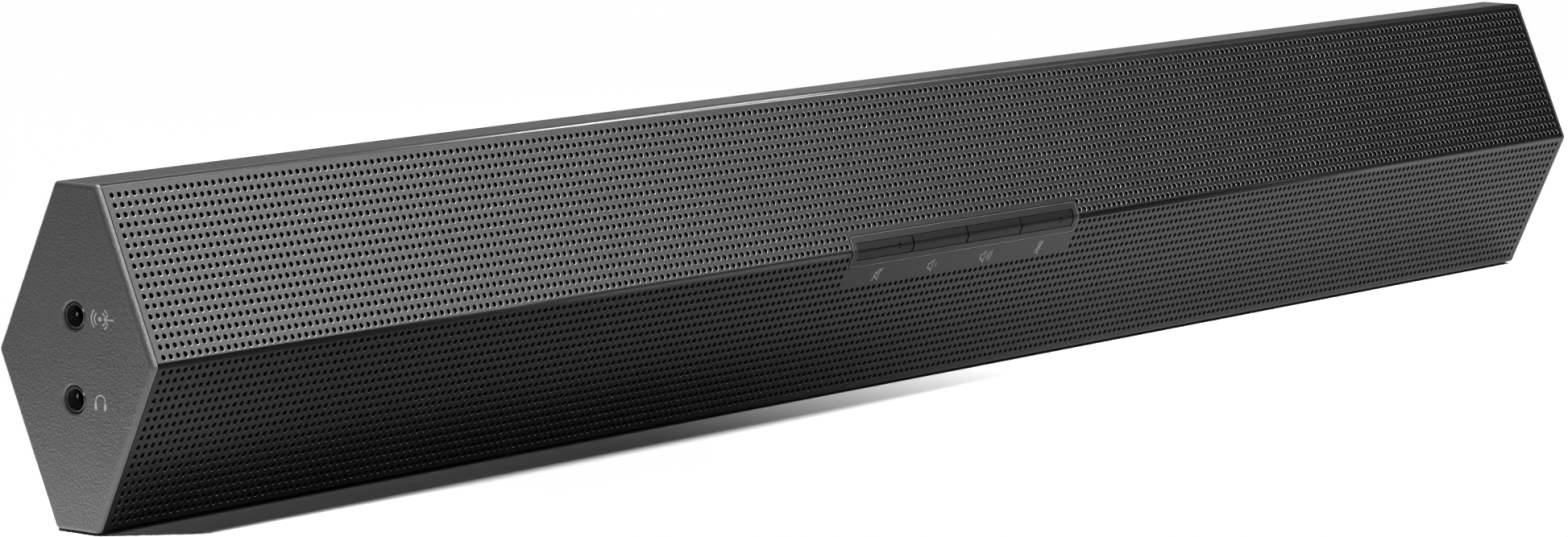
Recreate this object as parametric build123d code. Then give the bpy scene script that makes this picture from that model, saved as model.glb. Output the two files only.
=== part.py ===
"""Desk soundbar with a folded perforated front: every piece, in millimetres.

X runs along the bar (the jack end is -X), -Y is the front, +Z is up. The origin is under the
middle of the bar, on the surface that its feet stand on. Everything is modelled about the
middle of the section and lifted to its feet when it is written.
"""

import math
import os

from build123d import *

# ---- overall section: a long prism with six sides ----
length = 437.0
height = 55.0
depth = 33.0
flat_width = 8.8            # top and bottom flats
ridge_radius = 1.2
corner_radius = 0.8

# ---- shells ----
housing_wall = 2.0
grille_thickness = 0.6
grille_top_lip = 1.5        # how far the grille folds on to the top flat
grille_bottom_lip = 0.6     # and under the bottom one
cloth_thickness = 0.3
cloth_gap = 0.1
seam_gap = 0.2
fit_gap = 0.3
cap_thickness = 1.2
cap_edge_radius = 0.7
cap_plug_depth = 1.5
spigot_depth = 4.5
spigot_wall = 1.6

# ---- baffle, its ledge and its screws ----
baffle_thickness = 2.0
baffle_edge = 0.2           # baffle to the cloth
ledge_depth = 2.4
ledge_height = 2.0
boss_radius = 2.8
screw_radius = 1.0
screw_head_radius = 1.8
screw_head_height = 1.1
screw_clearance = 0.1
thread_clearance = 0.02
screw_edge_room = 0.2       # screw heads to the cloth
baffle_screw_depth = 5.0
board_screw_depth = 2.5
pilot_room = 1.0            # how much deeper a pilot hole is than its screw
screw_beside = 4.0          # baffle screws to the end of a radiator
screw_beyond = 14.0         # and past the outer edge of a driver
rib_thickness = 1.6
cable_notch = 3.6

# ---- flat cable and leads ----
cable_width = 8.0
cable_thickness = 0.3
cable_inset = 1.5           # cable to the lower edge of the button board
connector_length = 1.4
connector_rise = 1.0
lead_radius = 0.6
lead_bend = 2.5
lead_spacing = 0.2
lead_start_angle = 40.0     # where a speaker lead leaves the basket, below level
lead_end_inset = 16.0
jack_lead_top = 4.0

# ---- full-range drivers and passive radiators ----
driver_x = 150.0
gasket_thickness = 0.5
flange_width = 3.5
flange_room = 1.5           # driver flange to the ledge
flange_thickness = 1.0
opening_step = 1.0          # how far the baffle's opening clears the flange's inner edge
basket_depth = 5.5
basket_wall = 1.0
motor_radius = 9.5
motor_clearance = 0.7
yoke_wall = 1.0
yoke_base = 1.2
top_plate_thickness = 1.4
coil_wall = 0.2
winding_thickness = 0.4
winding_length = 2.8
coil_gap = 0.6
cone_thickness = 0.4
dust_cap_rise = 1.6
surround_roll = 1.5
surround_thickness = 0.3
surround_lip = 0.7
cone_travel = 1.0
passive_x = 95.0
passive_length = 48.0
passive_edge = 2.0
passive_frame_width = 3.5
passive_frame_thickness = 1.2
passive_skin = 0.6
passive_weight_length = 24.0
passive_weight_thickness = 2.2
passive_roll_width = 5.0

# ---- button panel on the front ridge ----
bezel_length = 71.2
bezel_half_face = 3.1       # measured down each sloping face from the ridge
bezel_proud = 0.1
bezel_gap = 0.15
bezel_corner = 0.7
bezel_depth = 2.9           # from the ridge to the flat back
bezel_flange = 1.6
slot_length = 68.3
slot_half_face = 1.8
button_count = 4
button_gap = 0.25
button_clearance = 0.15
button_travel = 0.3
button_chamfer = 0.15
button_flange_thickness = 0.8
button_flange_height = 2.3
button_flange_gap = 0.1
stem_radius = 1.2
lens_half_height = 0.28
lens_depth = 1.2
light_guide_radius = 0.5
light_guide_offset = 4.2
leg_length = 1.9

# ---- boards ----
board_thickness = 1.2
button_board_setback = 7.1  # ridge to the face of the button board
button_board_length = 122.0
button_board_height = 14.0
button_board_screw_x = 44.0
button_board_screw_z = 4.6
post_radius = 2.5
switch_size = 4.5
switch_height = 1.5
plunger_radius = 1.0
plunger_clearance = 0.05
plunger_length = 1.6
led_size = 1.6
led_height = 0.8
microphone_x = 54.0
microphone_size = 3.5
microphone_height = 1.1
microphone_boot_wall = 0.9
microphone_port = 0.8
component_room = 6.4
main_board_length = 120.0
main_board_edge = 3.8
main_board_screw_inset = 5.0

# ---- USB socket in a pocket of the rear ridge ----
usb_width = 8.94
usb_height = 3.26
usb_length = 6.0
usb_shell = 0.3
usb_corner = 1.2
usb_clearance = 0.25
usb_pocket_length = 22.0
usb_pocket_height = 12.0
usb_pocket_wall = 2.0

# ---- 3.5 mm jacks in the left end ----
jack_bore = 3.6
jack_depth = 14.0
jack_pitch = 13.2
jack_y = 0.25
jack_nose_wall = 0.35
jack_hole_clearance = 0.15
jack_hole_chamfer = 0.25
jack_setback = 0.3
jack_body_length = 12.0
jack_body_size = 6.0
jack_board_length = 20.0
jack_board_edge = 1.7
jack_screw_inset = 3.0
jack_screw_spacing = 20.0

# ---- feet ----
foot_length = 60.0
foot_width = 6.4
foot_thickness = 0.8
foot_corner = 1.5
foot_gap = 0.1
foot_proud = 0.4
foot_x = 150.0

# ---- worked out from the values above ----
half_length = length / 2
half_height = height / 2
half_depth = depth / 2
half_flat = flat_width / 2
slope_run = half_depth - half_flat
slope_length = math.hypot(slope_run, half_height)
fall_y = slope_run / slope_length       # a step down a sloping face, in Y
fall_z = half_height / slope_length     # and in Z


def ridge_at(inset):
    """Half depth of the section when every side moves in by inset."""
    return half_depth - inset / fall_z


def half_height_at(y, inset):
    """Half height of the inset section at a distance y from its middle."""
    return min((ridge_at(inset) - abs(y)) * half_height / slope_run, half_height - inset)


def section(inset):
    """The six-sided section, moved in by inset, with its bends rounded."""
    ridge = ridge_at(inset)
    flat_z = half_height - inset
    flat_y = ridge - slope_run * flat_z / half_height
    right = [(ridge, 0), (flat_y, flat_z), (-flat_y, flat_z)]
    points = right + [(-y, -z) for y, z in right]
    face = make_face(Polyline(*points, close=True))
    bends = face.vertices().filter_by(lambda v: abs(v.Y) < 0.01)
    face = fillet(bends, max(ridge_radius - inset, 0.2))
    corners = face.vertices().filter_by(lambda v: abs(abs(v.Y) - flat_z) < 0.01)
    return fillet(corners, max(corner_radius - inset, 0.2))


def prism(inset, x0, x1):
    """The inset section, run from x0 to x1."""
    return Pos(x0, 0, 0) * extrude(Plane.YZ * section(inset), x1 - x0)


def block(x0, x1, y0, y1, z0, z1):
    centre = Pos((x0 + x1) / 2, (y0 + y1) / 2, (z0 + z1) / 2)
    return centre * Box(x1 - x0, y1 - y0, z1 - z0)


def slab(half_x, y0, y1, half_z):
    """A block centred on X and Z."""
    return block(-half_x, half_x, y0, y1, -half_z, half_z)


def rod(radius, y0, y1, x=0, z=0):
    """A round bar along Y."""
    return Pos(x, (y0 + y1) / 2, z) * Rot(90, 0, 0) * Cylinder(radius, y1 - y0)


def pin(radius, x0, x1, y=0, z=0):
    """A round bar along X."""
    return Pos((x0 + x1) / 2, y, z) * Rot(0, 90, 0) * Cylinder(radius, x1 - x0)


def turned(*profile):
    """A solid of revolution about Y from (radius, y) points."""
    return revolve(make_face(Polyline(*profile, close=True)), Axis.Y)


def stadium(long, tall, y0, y1, radius):
    """A plate with rounded corners, standing in the XZ plane."""
    plate = Plane.XZ * RectangleRounded(long, tall, radius)
    return Pos(0, y1, 0) * extrude(plate, y1 - y0)


def screw(x, z, seat_y, tip_y):
    """A pan-head screw along +Y with its head's seat at seat_y, and a hex socket."""
    head = rod(screw_head_radius, seat_y - screw_head_height, seat_y)
    socket = extrude(Plane.XZ * RegularPolygon(screw_radius * 0.8, 6), screw_head_height / 2)
    socket = Pos(0, seat_y - screw_head_height / 2, 0) * socket
    return Pos(x, 0, z) * (head - socket + rod(screw_radius, seat_y, tip_y))


lift = Pos(0, 0, half_height + foot_proud)
os.makedirs("parts", exist_ok=True)


def write(name, *solids):
    """Lift the piece on to its feet and write it."""
    placed = [lift * one for solid in solids for one in solid.solids()]
    export_step(placed[0] if len(placed) == 1 else Compound(placed), f"parts/{name}.step")


# ---- planes that several pieces meet at ----
pilot_radius = screw_radius + thread_clearance
cap_inner = half_length - cap_thickness
shell_end = cap_inner - seam_gap
spigot_end = cap_inner - cap_plug_depth - spigot_depth
top_lip_edge = grille_top_lip - half_flat
bottom_lip_edge = grille_bottom_lip - half_flat
cloth_inset = grille_thickness + cloth_gap
front_inset = cloth_inset + cloth_thickness
baffle_front = -half_flat
baffle_rear = baffle_front + baffle_thickness
ledge_z = half_height - housing_wall - ledge_height
ridge_y = -half_depth
bezel_back = ridge_y + bezel_depth
button_board_front = ridge_y + button_board_setback
button_board_rear = button_board_front + board_thickness
main_board_front = baffle_rear + component_room
main_board_rear = main_board_front + board_thickness
main_board_half_height = half_height_at(main_board_rear, housing_wall) - main_board_edge
cable_z = cable_inset - button_board_height / 2
button_screw_places = [
    (x, z)
    for x in (-button_board_screw_x, button_board_screw_x)
    for z in (-button_board_screw_z, button_board_screw_z)
]
boss_z = (
    half_height_at(baffle_front - screw_head_height, front_inset) - screw_head_radius - screw_edge_room
)
driver_flange_radius = ledge_z - flange_room
far = 2 * half_depth

# Screws that hold the baffle: between and beside the drivers and radiators, top and bottom.
electronics_x = passive_x - passive_length / 2 - screw_beside
between_x = (passive_x + passive_length / 2 + driver_x - driver_flange_radius) / 2
outer_x = driver_x + driver_flange_radius + screw_beyond
baffle_screws_x = [side * x for side in (-1, 1) for x in (electronics_x, between_x, outer_x)]
baffle_screw_places = [(x, z) for x in baffle_screws_x for z in (-boss_z, boss_z)]
rib_places = [side * x for side in (-1, 1) for x in (electronics_x - boss_radius, outer_x + boss_radius)]
main_screw_places = [
    (side * (main_board_length / 2 - main_board_screw_inset), z)
    for side in (-1, 1)
    for z in (
        main_board_screw_inset - main_board_half_height,
        main_board_half_height - main_board_screw_inset,
    )
]

# ---- jacks: places along the left end ----
jack_places = {"line_in_jack": jack_pitch / 2, "headphone_jack": -jack_pitch / 2}
jack_nose_radius = jack_bore / 2 + jack_nose_wall
jack_mouth = -half_length + jack_setback
jack_body_front = -(cap_inner - cap_plug_depth) + fit_gap
jack_board_front = jack_y + jack_body_size / 2
jack_board_rear = jack_board_front + board_thickness
jack_board_x = jack_body_front
jack_board_half_height = (
    half_height_at(jack_board_rear, housing_wall + fit_gap + spigot_wall) - jack_board_edge
)
jack_screw_x = jack_board_x + jack_board_length - jack_screw_inset
jack_screw_places = [(jack_screw_x, side * jack_screw_spacing / 2) for side in (-1, 1)]


def in_front_of(top_y, bottom_y):
    """Everything in front of top_y in the upper half and of bottom_y in the lower half."""
    upper = block(-half_length, half_length, -far, top_y, 0, half_height)
    return upper + block(-half_length, half_length, -far, bottom_y, -half_height, 0)


# ---- front grille: one folded sheet with the cut-out for the button panel ----
half_cutout = bezel_half_face + bezel_gap
grille = prism(0, -shell_end, shell_end) - prism(grille_thickness, -half_length, half_length)
grille &= in_front_of(top_lip_edge, bottom_lip_edge)
cutout = stadium(
    bezel_length + 2 * bezel_gap, 2 * half_cutout * fall_z, -far, bezel_back,
    bezel_corner + bezel_gap,
)
write("front_grille", grille - cutout)

# ---- acoustic cloth just behind the grille ----
cloth = prism(cloth_inset, -spigot_end, spigot_end) - prism(front_inset, -half_length, half_length)
cloth &= block(-half_length, half_length, -far, baffle_front, -half_height, half_height)
cloth -= slab(
    bezel_length / 2 + bezel_flange + fit_gap, -far, bezel_back + fit_gap,
    half_height_at(bezel_back + fit_gap, cloth_inset) + fit_gap,
)
write("acoustic_cloth", cloth)

# ---- rear housing: one moulding with ledges, bosses, ribs and the socket pocket ----
tongue_inset = grille_thickness + cloth_gap
front_edges = in_front_of(top_lip_edge + seam_gap, bottom_lip_edge + seam_gap)
tongues = prism(tongue_inset, -shell_end, shell_end) & front_edges
tongues -= block(-half_length, half_length, -far, baffle_front, -half_height, half_height)
housing = prism(0, -shell_end, shell_end) - front_edges + tongues
housing -= prism(housing_wall, -shell_end, shell_end)
housing -= slab(half_length, -far, baffle_rear, half_height - housing_wall)
inside = prism(housing_wall / 2, -spigot_end + fit_gap, spigot_end - fit_gap)
ledges = [
    block(-half_length, half_length, baffle_rear, baffle_rear + ledge_depth, z, z + ledge_height)
    for z in (ledge_z, -ledge_z - ledge_height)
]
bosses = [rod(boss_radius, baffle_rear, far, x, z) for x, z in baffle_screw_places]
bosses += [rod(boss_radius, main_board_rear, far, x, z) for x, z in main_screw_places]
bosses += [rod(boss_radius, jack_board_rear, far, x, z) for x, z in jack_screw_places]
ribs = [
    block(x - rib_thickness / 2, x + rib_thickness / 2, baffle_rear, far, -half_height, half_height)
    for x in rib_places
]
notches = [
    block(
        x - rib_thickness, x + rib_thickness, baffle_rear, baffle_rear + ledge_depth + cable_notch,
        housing_wall - half_height, housing_wall - half_height + cable_notch,
    )
    for x in rib_places
]
usb_floor = main_board_rear + usb_length
pocket_wall = slab(
    usb_pocket_length / 2 + usb_pocket_wall, usb_floor - usb_pocket_wall, far,
    usb_pocket_height / 2 + usb_pocket_wall,
)
inner = Part() + ledges + bosses + ribs + pocket_wall
for notch in notches:
    inner -= notch
housing += inner & inside
housing -= stadium(usb_pocket_length, usb_pocket_height, usb_floor, far, 2.0)
housing -= stadium(
    usb_width + 2 * usb_clearance, usb_height + 2 * usb_clearance, 0, far, usb_corner + usb_clearance
)
for x, z in baffle_screw_places:
    housing -= rod(pilot_radius, baffle_rear, baffle_rear + baffle_screw_depth + pilot_room, x, z)
for x, z in main_screw_places:
    housing -= rod(pilot_radius, main_board_rear, main_board_rear + board_screw_depth + pilot_room, x, z)
for x, z in jack_screw_places:
    housing -= rod(pilot_radius, jack_board_rear, jack_board_rear + board_screw_depth + pilot_room, x, z)
foot_recess = foot_thickness - foot_proud
foot_places = (-foot_x, foot_x)
for x in foot_places:
    recess = RectangleRounded(foot_length + 2 * foot_gap, foot_width + 2 * foot_gap, foot_corner + foot_gap)
    housing -= Pos(x, 0, -half_height) * extrude(recess, foot_recess)
write("rear_housing", housing)

# ---- rubber feet in their recesses ----
foot = extrude(RectangleRounded(foot_length, foot_width, foot_corner), foot_thickness)
foot = chamfer(foot.faces().sort_by(Axis.Z)[0].edges(), 0.2)
write("rubber_feet", *[Pos(x, 0, -half_height - foot_proud) * foot for x in foot_places])


# ---- end caps: a plate with rounded edge, a plug and a hollow spigot ----
def end_cap():
    """The cap for the -X end."""
    plate = prism(0, -half_length, -cap_inner)
    plate = fillet(plate.faces().sort_by(Axis.X)[0].edges(), cap_edge_radius)
    plug_end = -cap_inner + cap_plug_depth
    plug = prism(housing_wall + fit_gap, -cap_inner, plug_end + spigot_depth)
    plug -= prism(housing_wall + fit_gap + spigot_wall, plug_end, 0)
    plug -= block(plug_end, 0, -far, baffle_rear, -half_height, half_height)
    front_rim = prism(front_inset, -cap_inner, plug_end)
    front_rim &= block(-half_length, 0, -far, baffle_front, -half_height, half_height)
    return plate + plug + front_rim


left_cap = end_cap()
hole_radius = jack_nose_radius + jack_hole_clearance
for z in jack_places.values():
    left_cap -= pin(hole_radius, -half_length, jack_body_front, jack_y, z)
    mouth = Cone(hole_radius + jack_hole_chamfer, hole_radius, jack_hole_chamfer)
    mouth = Pos(-half_length + jack_hole_chamfer / 2, jack_y, z) * Rot(0, 90, 0) * mouth
    left_cap -= mouth
write("left_end_cap", left_cap)
write("right_end_cap", mirror(end_cap(), Plane.YZ))

# ---- jacks: moulded bodies with a round nose, on their own board ----
contacts = []
for name, z in jack_places.items():
    nose = pin(jack_nose_radius, jack_mouth, jack_body_front, jack_y, z)
    nose = chamfer(nose.edges().sort_by(Axis.X)[0], 0.2)
    half = jack_body_size / 2
    body = block(
        jack_body_front, jack_body_front + jack_body_length,
        jack_y - half, jack_board_front, z - half, z + half,
    )
    slot = block(
        jack_body_front + 4.0, jack_body_front + 9.0, jack_y - half, jack_y - half + 0.8, z - 0.9, z + 0.9
    )
    bore = pin(jack_bore / 2, jack_mouth, jack_mouth + jack_depth, jack_y, z)
    write(name, nose + body - bore - slot)
    spring = block(
        jack_body_front + 4.1, jack_body_front + 8.9, jack_y - half + 0.1, jack_y - half + 0.5, z - 0.7, z + 0.7
    )
    contacts.append(spring)
write("jack_contacts", *contacts)
jack_board = block(
    jack_board_x, jack_board_x + jack_board_length, jack_board_front, jack_board_rear,
    -jack_board_half_height, jack_board_half_height,
)
for x, z in jack_screw_places:
    jack_board -= rod(screw_radius + screw_clearance, jack_board_front, jack_board_rear, x, z)
write("jack_board", jack_board)
write(
    "jack_board_screws",
    *[screw(x, z, jack_board_front, jack_board_rear + board_screw_depth) for x, z in jack_screw_places],
)

# ---- baffle: the flat plate that carries the drivers, radiators and button board ----
driver_opening = driver_flange_radius - flange_width + opening_step
passive_height = 2 * (driver_flange_radius - passive_edge)
baffle_half_height = half_height_at(baffle_front, front_inset) - baffle_edge
baffle = slab(rib_places[-1] + rib_thickness, baffle_front, baffle_rear, baffle_half_height)
for x, z in button_screw_places:
    baffle += rod(post_radius, button_board_rear, baffle_front, x, z)
    baffle -= rod(pilot_radius, button_board_rear, baffle_rear, x, z)
for side in (-1, 1):
    baffle -= rod(driver_opening, baffle_front, baffle_rear, side * driver_x)
    window = stadium(
        passive_length - 2 * passive_frame_width, passive_height - 2 * passive_frame_width,
        baffle_front, baffle_rear, passive_height / 2 - passive_frame_width - 0.5,
    )
    baffle -= Pos(side * passive_x, 0, 0) * window
for x, z in baffle_screw_places:
    baffle -= rod(screw_radius + screw_clearance, baffle_front, baffle_rear, x, z)
cable_slot = Plane.XZ * Rectangle(cable_width + 2 * connector_rise, 2 * connector_rise)
baffle -= Pos(0, baffle_rear, cable_z) * extrude(cable_slot, baffle_thickness)
write("front_baffle", baffle)
write(
    "baffle_screws",
    *[screw(x, z, baffle_front, baffle_rear + baffle_screw_depth) for x, z in baffle_screw_places],
)

# ---- drivers: everything is turned about the driver's axis ----
flange_front = baffle_rear + gasket_thickness
flange_rear = flange_front + flange_thickness
flange_inner = driver_flange_radius - flange_width
basket_rear = flange_front + basket_depth
motor_rear = ridge_at(housing_wall) - motor_radius * slope_run / half_height - motor_clearance
landing_y = basket_rear - basket_wall - 0.6
landing_inner = motor_radius + 2.3
landing_outer = landing_inner + 2.4
cone_edge = flange_inner - 2 * surround_roll
coil_front = basket_rear - 3.2
coil_rear = basket_rear + top_plate_thickness + 0.6
gasket = turned(
    (driver_opening + 0.1, baffle_rear), (driver_flange_radius, baffle_rear),
    (driver_flange_radius, flange_front), (driver_opening + 0.1, flange_front),
)
basket = turned(
    (flange_inner, flange_front), (driver_flange_radius, flange_front),
    (driver_flange_radius, flange_rear), (flange_inner + basket_wall, flange_rear),
    (landing_outer + basket_wall, basket_rear - basket_wall), (landing_outer, basket_rear),
    (motor_radius - yoke_wall, basket_rear), (motor_radius - yoke_wall, basket_rear - 0.8),
    (landing_inner, basket_rear - 0.8), (landing_inner, landing_y), (landing_outer, landing_y),
    (flange_inner, flange_rear - 0.3),
)
window_count = 6
for turn in range(window_count):
    opening = block(-3.5, 3.5, flange_rear + 0.4, landing_y - 0.2, landing_outer, flange_inner + 3)
    basket -= Rot(0, turn * 360 / window_count, 0) * opening
yoke = rod(motor_radius, basket_rear, motor_rear)
yoke -= rod(motor_radius - yoke_wall, basket_rear, motor_rear - yoke_base)
former_outer = motor_radius - yoke_wall - coil_gap - winding_thickness
former_inner = former_outer - coil_wall
plate_radius = former_inner - coil_gap
top_plate = rod(plate_radius, basket_rear, basket_rear + top_plate_thickness)
magnet = rod(plate_radius - 0.4, basket_rear + top_plate_thickness, motor_rear - yoke_base)
winding_front = coil_rear - winding_length
coil = turned(
    (former_inner, coil_front), (former_outer, coil_front), (former_outer, winding_front),
    (former_outer + winding_thickness, winding_front), (former_outer + winding_thickness, coil_rear),
    (former_inner, coil_rear),
)
corrugations = 4
spider_steps = 2 * corrugations
spider_front = landing_y - 0.4
near_edge = []
for step in range(spider_steps + 1):
    radius = former_outer + (landing_outer - 0.1 - former_outer) * step / spider_steps
    edge_flat = step in (0, spider_steps, spider_steps - 1)
    near_edge.append((radius, spider_front if edge_flat or step % 2 == 0 else spider_front - 0.5))
spider = turned(*near_edge, *[(r, y + 0.4) for r, y in reversed(near_edge)])
neck = coil_front + 0.4
cone = turned(
    (cone_edge, flange_front), (cone_edge, flange_front + cone_thickness),
    (former_outer, neck + cone_thickness), (former_outer, neck),
)
dome_radius = (former_outer ** 2 + dust_cap_rise ** 2) / (2 * dust_cap_rise)
dome_centre = Pos(0, coil_front - dust_cap_rise + dome_radius)
dome = dome_centre * (Circle(dome_radius) - Circle(dome_radius - cone_thickness))
dome &= Pos(former_outer / 2, coil_front - dust_cap_rise) * Rectangle(former_outer, 2 * dust_cap_rise)
dust_cap = revolve(dome, Axis.Y)
roll_middle = (cone_edge + flange_inner) / 2
lip_front = flange_front - surround_thickness
roll_outer = Pos(roll_middle, flange_front) * Circle(surround_roll)
roll_inner = Pos(roll_middle, flange_front) * Circle(surround_roll - surround_thickness)
half_plane = Pos(roll_middle, flange_front - surround_roll) * Rectangle(4 * surround_roll, 2 * surround_roll)
lips = [
    Pos(radius, flange_front - surround_thickness / 2)
    * Rectangle(surround_lip + 2 * surround_thickness, surround_thickness)
    for radius in (cone_edge - surround_lip / 2, flange_inner + surround_lip / 2)
]
roll = ((roll_outer - roll_inner) & half_plane) + lips
surround = revolve(roll, Axis.Y)


def pair(x, *solids):
    """The same piece on the left and on the right."""
    return [Pos(side * x, 0, 0) * solid for side in (-1, 1) for solid in solids]


write("driver_gaskets", *pair(driver_x, gasket))
write("driver_baskets", *pair(driver_x, basket))
write("driver_yokes", *pair(driver_x, yoke))
write("driver_top_plates", *pair(driver_x, top_plate))
write("driver_magnets", *pair(driver_x, magnet))
passive_opening = passive_length - 2 * passive_frame_width
passive_gap_height = passive_height - 2 * passive_frame_width
frame_rear = baffle_rear + passive_frame_thickness
passive_frame = stadium(
    passive_length, passive_height, baffle_rear, frame_rear, passive_height / 2 - 0.5
) - stadium(
    passive_opening, passive_gap_height, baffle_rear, frame_rear, passive_gap_height / 2 - 0.5
)
skin_front = baffle_rear + (passive_frame_thickness - passive_skin) / 2
passive_diaphragm = stadium(
    passive_opening, passive_gap_height, skin_front, skin_front + passive_skin, passive_gap_height / 2 - 0.5
)
weight_height = passive_gap_height - 2 * passive_roll_width
passive_weight = stadium(
    passive_weight_length, weight_height, skin_front + passive_skin,
    skin_front + passive_skin + passive_weight_thickness, weight_height / 2 - 0.5,
)
write("passive_frames", *pair(passive_x, passive_frame))
for side, end in ((-1, "left"), (1, "right")):
    at_driver = Pos(side * driver_x, 0, 0)
    at_passive = Pos(side * passive_x, 0, 0)
    write(f"{end}_cone", at_driver * cone)
    write(f"{end}_dust_cap", at_driver * dust_cap)
    write(f"{end}_voice_coil", at_driver * coil)
    write(f"{end}_surround", at_driver * surround)
    write(f"{end}_spider", at_driver * spider)
    write(f"{end}_passive_diaphragm", at_passive * passive_diaphragm)
    write(f"{end}_passive_weight", at_passive * passive_weight)

# ---- button bezel: wraps the ridge, with legs down to the button board ----
bezel_face = prism(-bezel_proud, -bezel_length / 2, bezel_length / 2)
bezel_face &= stadium(bezel_length, 2 * bezel_half_face * fall_z, -far, bezel_back, bezel_corner)
flange_half = bezel_length / 2 + bezel_flange
bezel_flange_part = prism(front_inset + 0.2, -flange_half, flange_half)
bezel_flange_part &= slab(flange_half, -far, bezel_back, half_height)
bezel = bezel_face + bezel_flange_part
for side in (-1, 1):
    leg_x = side * (flange_half - leg_length / 2)
    bezel += block(
        leg_x - leg_length / 2, leg_x + leg_length / 2, bezel_back, button_board_front, -1.6, 1.6
    )
slot_half_z = slot_half_face * fall_z
bezel -= slab(slot_length / 2, -far, bezel_back, slot_half_z)
write("button_bezel", bezel)

# ---- buttons: V-shaped bars behind the slot, each with its switch plunger ----
button_pitch = slot_length / button_count
button_names = ("mute", "volume_down", "volume_up", "microphone_mute")
lit_buttons = ("mute", "microphone_mute")
switch_front = button_board_front - switch_height
plunger_front = switch_front - 0.8
flange_start = bezel_back + button_flange_gap
switch_places = []
led_places = []
for number, name in enumerate(button_names):
    x = (number - (button_count - 1) / 2) * button_pitch
    half_width = (button_pitch - button_gap) / 2
    cap = prism(0, -half_width, half_width)
    cap &= slab(half_width, -far, flange_start, slot_half_z - button_clearance)
    ends = cap.faces().filter_by(Axis.X).edges().filter_by(lambda e: e.center().Y < bezel_back - 1)
    cap = chamfer(ends, button_chamfer)
    button_flange = slab(half_width, flange_start, flange_start + button_flange_thickness, button_flange_height)
    stem = rod(stem_radius, flange_start + button_flange_thickness, plunger_front)
    button = cap + button_flange + stem
    if name in lit_buttons:
        guide_end = button_board_front - led_height - button_travel - 0.2
        lens = prism(0, -half_width + button_chamfer, half_width - button_chamfer)
        lens &= slab(half_width, -far, ridge_y + lens_depth, lens_half_height)
        lens += rod(light_guide_radius, ridge_y + lens_depth, guide_end, light_guide_offset)
        groove = slab(half_width, -far, ridge_y + lens_depth, lens_half_height)
        button -= groove
        button -= rod(light_guide_radius + 0.03, ridge_y, guide_end, light_guide_offset)
        write(f"{name}_indicator", Pos(x, 0, 0) * lens)
        led_places.append(x + light_guide_offset)
    write(f"{name}_button", Pos(x, 0, 0) * button)
    write(
        f"{name}_switch_plunger",
        rod(plunger_radius, plunger_front, plunger_front + plunger_length, x),
    )
    switch_places.append(x)

# ---- button board with its switches, lights and microphones ----
switch = slab(switch_size / 2, switch_front, button_board_front, switch_size / 2)
switch -= rod(plunger_radius + plunger_clearance, switch_front, button_board_front - 0.3)
write("tact_switch_bodies", *[Pos(x, 0, 0) * switch for x in switch_places])
led = slab(led_size / 2, button_board_front - led_height, button_board_front, led_size / 2)
write("indicator_leds", *[Pos(x, 0, 0) * led for x in led_places])
board = slab(button_board_length / 2, button_board_front, button_board_rear, button_board_height / 2)
for x, z in button_screw_places:
    board -= rod(screw_radius + screw_clearance, button_board_front, button_board_rear, x, z)
write("button_board", board)
write(
    "button_board_screws",
    *[screw(x, z, button_board_front, baffle_front) for x, z in button_screw_places],
)
microphone = slab(
    microphone_size / 2, button_board_front - microphone_height, button_board_front, microphone_size / 2
)
boot_half = microphone_size / 2 + microphone_boot_wall
boot_front = cloth_gap + boot_half * slope_run / half_height - ridge_at(front_inset)
boot = slab(boot_half, boot_front, button_board_front, boot_half) - microphone
boot -= rod(microphone_port, boot_front, button_board_front)
microphone_top = button_board_front - microphone_height
microphone -= rod(microphone_port / 2, microphone_top, microphone_top + microphone_height / 2)
write("microphones", *pair(microphone_x, microphone))
write("microphone_boots", *pair(microphone_x, boot))

# ---- main board, its parts and the USB socket ----
main_board = slab(main_board_length / 2, main_board_front, main_board_rear, main_board_half_height)
for x, z in main_screw_places:
    main_board -= rod(screw_radius + screw_clearance, main_board_front, main_board_rear, x, z)
write("main_board", main_board)
write(
    "main_board_screws",
    *[screw(x, z, main_board_front, main_board_rear + board_screw_depth) for x, z in main_screw_places],
)
chips = [
    Pos(-34, 0, 0) * slab(5.0, main_board_front - 1.2, main_board_front, 5.0),
    Pos(-14, 0, 6) * slab(3.5, main_board_front - 1.0, main_board_front, 3.5),
    Pos(18, 0, 4) * slab(4.5, main_board_front - 1.4, main_board_front, 3.0),
    Pos(36, 0, -2) * slab(4.0, main_board_front - 2.8, main_board_front, 4.0),
]
chips += [rod(2.5, main_board_front - 4.5, main_board_front, x, -8) for x in (-40, -30, 28, 46)]
write("main_board_components", *chips)
socket = stadium(usb_width, usb_height, main_board_rear, usb_floor, usb_corner)
socket -= stadium(
    usb_width - 2 * usb_shell, usb_height - 2 * usb_shell, main_board_rear + 1.0, usb_floor,
    usb_corner - usb_shell,
)
write("usb_socket", socket + slab(usb_width / 2 - 1.1, main_board_rear + 1.0, usb_floor - 0.6, 0.35))

# ---- flat cables and speaker leads ----
cable_ends = (button_board_rear, main_board_front - connector_length)
button_cable = block(
    -cable_width / 2, cable_width / 2, button_board_rear, main_board_front,
    cable_z - cable_thickness / 2, cable_z + cable_thickness / 2,
)
for y in cable_ends:
    half = cable_width / 2 + connector_rise
    button_cable += block(-half, half, y, y + connector_length, cable_z - connector_rise, cable_z + connector_rise)
write("button_cable", button_cable)
lead_y = baffle_rear + ledge_depth + 2 * lead_radius
lead_z = housing_wall - half_height + lead_radius + fit_gap
jack_lead_y = lead_y + 2 * lead_radius + lead_spacing
jack_lead_z = lead_z + fit_gap


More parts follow.
